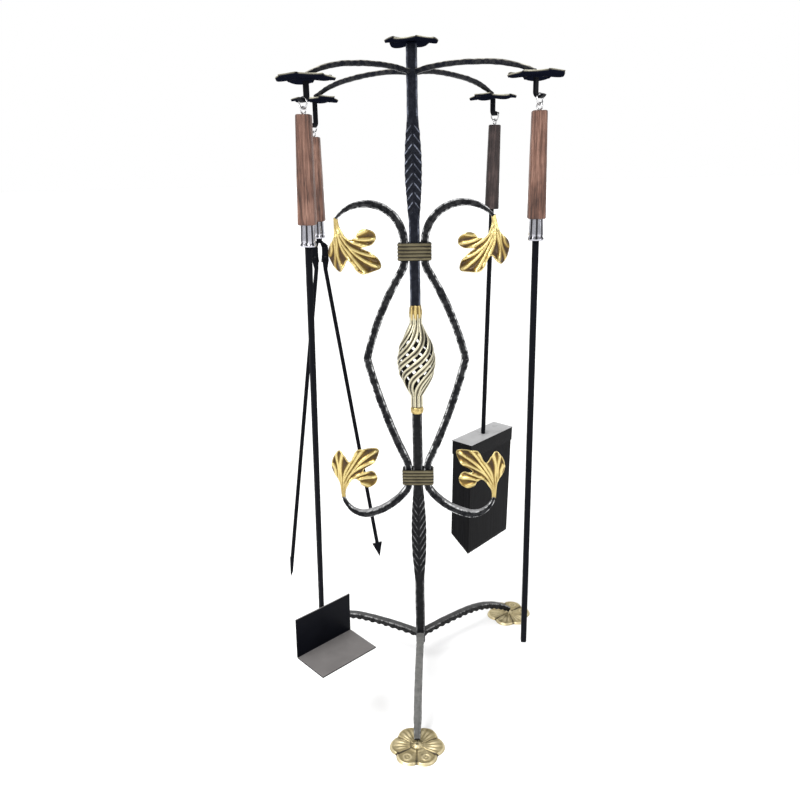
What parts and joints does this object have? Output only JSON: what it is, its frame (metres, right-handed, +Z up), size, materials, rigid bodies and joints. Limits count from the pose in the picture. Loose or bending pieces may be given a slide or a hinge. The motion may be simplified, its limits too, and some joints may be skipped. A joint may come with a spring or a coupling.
{
  "type": "fireplace tool set",
  "caption": "Forged fireplace stand with scrolls, gold leaves and a twisted basket, carrying a poker, brush, shovel and tongs on hooks.",
  "frame": {"origin": "on the floor, under the middle of the set's bounding box", "axes": "+Z up the post, +X to the right, -Y towards the front leg"},
  "size_m": [0.3462, 0.3778, 0.765],
  "materials": {
    "forged_black": "hammered black paint rubbed with silver",
    "antique_gold": "antique gold patina with dark recesses",
    "champagne": "champagne patina with dark recesses",
    "pale_gold": "worn pale gold patina",
    "black_steel": "satin black paint",
    "sheet_black": "semi gloss black paint",
    "chrome": "polished",
    "wire": "bright zinc plated wire",
    "wood": "oiled reddish brown hardwood",
    "bristle": "dense black bristles"
  },
  "bodies": {
    "stand": {"arm_back_left": "forged_black", "arm_back_right": "forged_black", "arm_front_left": "forged_black", "arm_front_right": "forged_black", "basket_caps": "antique_gold", "basket_wires": "champagne", "flower_back_left": "champagne", "flower_back_right": "champagne", "flower_front_left": "champagne", "flower_front_right": "champagne", "flower_top": "champagne", "foot_front": "pale_gold", "foot_left": "pale_gold", "foot_right": "pale_gold", "hook_back_left": "forged_black", "hook_back_right": "forged_black", "hook_front_left": "forged_black", "hook_front_right": "forged_black", "leaf_lower_left": "antique_gold", "leaf_lower_right": "antique_gold", "leaf_upper_left": "antique_gold", "leaf_upper_right": "antique_gold", "leg_front": "forged_black", "leg_left": "forged_black", "leg_right": "forged_black", "lower_collar": "antique_gold", "post_lower": "forged_black", "post_upper": "forged_black", "scroll_lower_left": "forged_black", "scroll_lower_right": "forged_black", "scroll_upper_left": "forged_black", "scroll_upper_right": "forged_black", "upper_collar": "antique_gold"},
    "poker_link": {"poker_ring": "wire"},
    "poker": {"poker_eye": "wire", "poker_ferrule": "chrome", "poker_handle": "wood", "poker_shaft": "black_steel"},
    "brush_link": {"brush_ring": "wire"},
    "brush": {"brush_bristles": "bristle", "brush_cap": "sheet_black", "brush_eye": "wire", "brush_handle": "wood", "brush_rod": "black_steel"},
    "tongs_link": {"tongs_ring": "wire"},
    "tongs": {"tongs_bow": "black_steel", "tongs_eye": "wire", "tongs_ferrule": "chrome", "tongs_handle": "wood", "tongs_rivets": "black_steel"},
    "shovel_link": {"shovel_ring": "wire"},
    "shovel": {"shovel_eye": "wire", "shovel_ferrule": "chrome", "shovel_handle": "wood", "shovel_pan": "sheet_black", "shovel_shaft": "black_steel"},
    "tongs_left": {"tongs_prong_left": "black_steel"},
    "tongs_right": {"tongs_prong_right": "black_steel"}
  },
  "joints": [
    {"name": "poker_lift_off", "type": "slide", "parent": "stand", "child": "poker_link", "axis": [0.6455, -0.5043, 0.5736], "range_m": [0, 0.12]},
    {"name": "poker_swing", "type": "hinge", "parent": "poker_link", "child": "poker", "pos_m": [0.13974, -0.09154, 0.68623], "axis": [-0.6157, -0.788, 0], "range_deg": [-5, 30]},
    {"name": "brush_lift_off", "type": "slide", "parent": "stand", "child": "brush_link", "axis": [0.5043, 0.6455, 0.5736], "range_m": [0, 0.12]},
    {"name": "brush_swing", "type": "hinge", "parent": "brush_link", "child": "brush", "pos_m": [0.11246, 0.13059, 0.68623], "axis": [0.788, -0.6157, 0], "range_deg": [-5, 30]},
    {"name": "tongs_lift_off", "type": "slide", "parent": "stand", "child": "tongs_link", "axis": [-0.6455, 0.5043, 0.5736], "range_m": [0, 0.12]},
    {"name": "tongs_swing", "type": "hinge", "parent": "tongs_link", "child": "tongs", "pos_m": [-0.10967, 0.10331, 0.67623], "axis": [0.6157, 0.788, 0], "range_deg": [-5, 30]},
    {"name": "shovel_lift_off", "type": "slide", "parent": "stand", "child": "shovel_link", "axis": [-0.5043, -0.6455, 0.5736], "range_m": [0, 0.12]},
    {"name": "shovel_swing", "type": "hinge", "parent": "shovel_link", "child": "shovel", "pos_m": [-0.08239, -0.11882, 0.68623], "axis": [-0.788, 0.6157, 0], "range_deg": [-5, 30]},
    {"name": "tongs_left_close", "type": "hinge", "parent": "tongs", "child": "tongs_left", "pos_m": [-0.11594, 0.10163, 0.52468], "axis": [0.2588, -0.9659, 0], "range_deg": [-2, 7]},
    {"name": "tongs_right_close", "type": "hinge", "parent": "tongs", "child": "tongs_right", "pos_m": [-0.10339, 0.105, 0.52468], "axis": [-0.2588, 0.9659, 0], "range_deg": [-2, 7]}
  ],
  "couplings": [
    {"joint": "tongs_left_close", "follows": "tongs_right_close", "ratio": 1}
  ]
}
